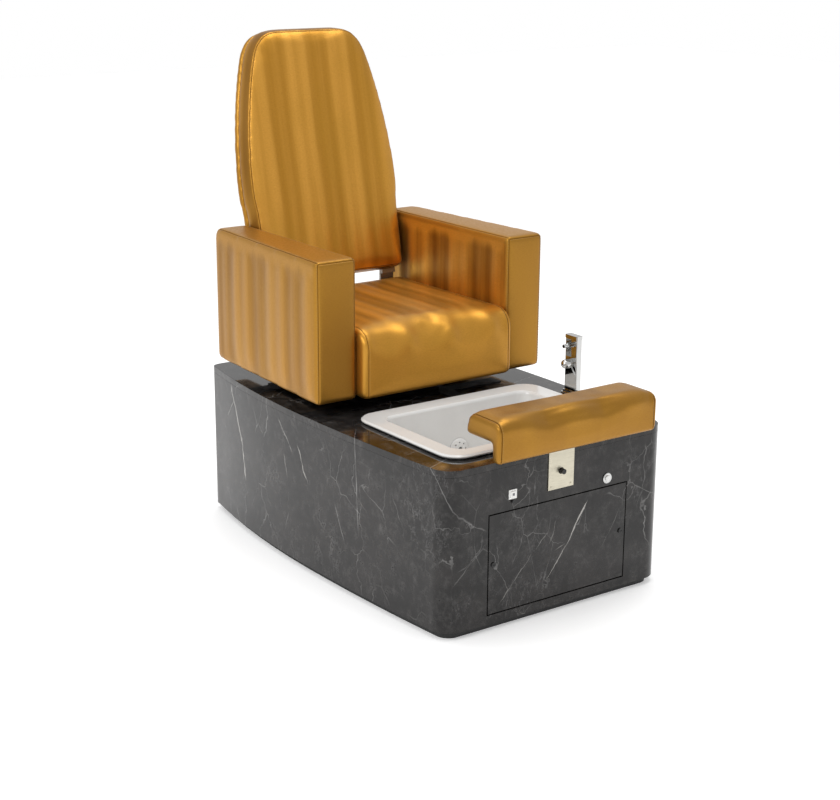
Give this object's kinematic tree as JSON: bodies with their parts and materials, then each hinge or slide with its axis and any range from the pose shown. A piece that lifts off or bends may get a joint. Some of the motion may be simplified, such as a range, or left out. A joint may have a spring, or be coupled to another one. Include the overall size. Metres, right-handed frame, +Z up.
{
  "type": "pedicure spa chair",
  "caption": "Pedicure spa chair in bronze-gold vinyl that swivels and reclines over a marble-look cabinet with a white foot basin, a chrome faucet and a padded footrest",
  "frame": {"origin": "the middle of the footprint, on the floor", "axes": "+X to the side with the faucet, +Y from the footrest towards the back of the chair, +Z up"},
  "size_m": [0.8, 1.3699, 1.4542],
  "materials": {
    "marble_laminate": "polished charcoal laminate with a white-veined marble look",
    "gold_vinyl": "soft metallic bronze-gold upholstery vinyl with a satin sheen",
    "basin_white": "glossy white moulded acrylic",
    "chrome": "mirror polished",
    "brushed_plate": "brushed, warm in tone",
    "black_plastic": "matte black",
    "black_paint": "satin black paint",
    "plywood": "raw birch plywood",
    "white_plastic": "glossy white",
    "grey_plastic": "matte grey",
    "seal_rubber": "black, smooth",
    "hose_braid": "fine braided sleeve",
    "tube_rubber": "black, satin",
    "black_paint_wood": "matte black paint"
  },
  "bodies": {
    "cabinet": {"access_panel": "marble_laminate", "air_bellows": "tube_rubber", "air_button_bezel": "chrome", "air_tube": "tube_rubber", "basin": "basin_white", "basin_gasket": "seal_rubber", "cabinet_shell": "marble_laminate", "control_box": "grey_plastic", "deck_top": "marble_laminate", "drain_flange": "chrome", "drain_trap": "white_plastic", "faucet_base": "chrome", "faucet_body": "chrome", "faucet_nut": "chrome", "faucet_spout": "chrome", "footrest_guide": "black_paint", "footrest_plate": "brushed_plate", "hose_cold": "hose_braid", "hose_hot": "hose_braid", "inlet_nipple_cold": "chrome", "inlet_nipple_hot": "chrome", "jet_cover": "basin_white", "jet_motor": "black_plastic", "panel_stop_frame": "plywood", "pedestal_base": "black_paint", "plinth_frame": "black_paint_wood", "power_inlet": "black_plastic", "switch_bezel": "white_plastic", "switch_contact_block": "black_plastic", "swivel_pin": "brushed_plate"},
    "chair": {"swivel_plate": "black_paint", "seat_frame": "black_paint", "seat_cushion": "gold_vinyl", "seat_board": "plywood", "seat_riser_front": "black_paint_wood", "seat_riser_rear": "black_paint_wood", "arm_cover_left": "gold_vinyl", "arm_cover_right": "gold_vinyl", "arm_board_left": "plywood", "arm_board_right": "plywood", "recline_bracket_left": "black_paint", "recline_bracket_right": "black_paint", "recline_pin_left": "brushed_plate", "recline_pin_right": "brushed_plate"},
    "backrest": {"back_cushion": "gold_vinyl", "back_panel": "gold_vinyl", "back_upright_left": "brushed_plate", "back_upright_right": "brushed_plate"},
    "footrest": {"footrest_post": "brushed_plate", "footrest_board": "plywood", "footrest_pad": "gold_vinyl"},
    "latch_left": {"latch_left": "black_plastic"},
    "latch_right": {"latch_right": "black_plastic"},
    "footrest_knob": {"footrest_knob": "black_plastic"},
    "drain_stopper": {"drain_stopper": "chrome"},
    "jet_impeller": {"jet_impeller": "grey_plastic"},
    "faucet_lever": {"faucet_lever": "chrome"},
    "switch_button": {"switch_button": "white_plastic"},
    "reset_button": {"reset_button": "black_plastic"},
    "air_button": {"air_button": "white_plastic"}
  },
  "joints": [
    {"name": "chair_swivel", "type": "hinge", "parent": "cabinet", "child": "chair", "pos_m": [0, 0.253, 0.48], "axis": [0, 0, 1], "range_deg": [-90, 90]},
    {"name": "back_recline", "type": "hinge", "parent": "chair", "child": "backrest", "pos_m": [0, 0.499, 0.59], "axis": [-1, 0, 0], "range_deg": [0, 20]},
    {"name": "footrest_lift", "type": "slide", "parent": "cabinet", "child": "footrest", "axis": [0, 0, 1], "range_m": [0, 0.06]},
    {"name": "footrest_knob_turn", "type": "hinge", "parent": "cabinet", "child": "footrest_knob", "pos_m": [0, -0.619, 0.397], "axis": [0, -1, 0], "range_deg": [-180, 180]},
    {"name": "faucet_lever_turn", "type": "hinge", "parent": "cabinet", "child": "faucet_lever", "pos_m": [0.355, -0.243, 0.552], "axis": [1, 0, 0], "range_deg": [0, 90]},
    {"name": "latch_left_turn", "type": "hinge", "parent": "cabinet", "child": "latch_left", "pos_m": [-0.218, -0.613, 0.183], "axis": [0, -1, 0], "range_deg": [0, 90]},
    {"name": "latch_right_turn", "type": "hinge", "parent": "cabinet", "child": "latch_right", "pos_m": [0.218, -0.613, 0.183], "axis": [0, -1, 0], "range_deg": [0, 90]},
    {"name": "switch_press", "type": "slide", "parent": "cabinet", "child": "switch_button", "axis": [0, 1, 0], "range_m": [0, 0.003], "stiffness_N_per_m": 400, "springref_m": -0.002},
    {"name": "reset_press", "type": "slide", "parent": "cabinet", "child": "reset_button", "axis": [0, 1, 0], "range_m": [0, 0.003], "stiffness_N_per_m": 400, "springref_m": -0.002},
    {"name": "air_button_press", "type": "slide", "parent": "cabinet", "child": "air_button", "axis": [0, 1, 0], "range_m": [0, 0.003], "stiffness_N_per_m": 500, "springref_m": -0.002},
    {"name": "stopper_lift", "type": "slide", "parent": "cabinet", "child": "drain_stopper", "axis": [0, 0, 1], "range_m": [0, 0.008]},
    {"name": "impeller_spin", "type": "hinge", "parent": "cabinet", "child": "jet_impeller", "pos_m": [0, -0.173, 0.338], "axis": [0, -0.9925, 0.1219], "continuous": true}
  ]
}
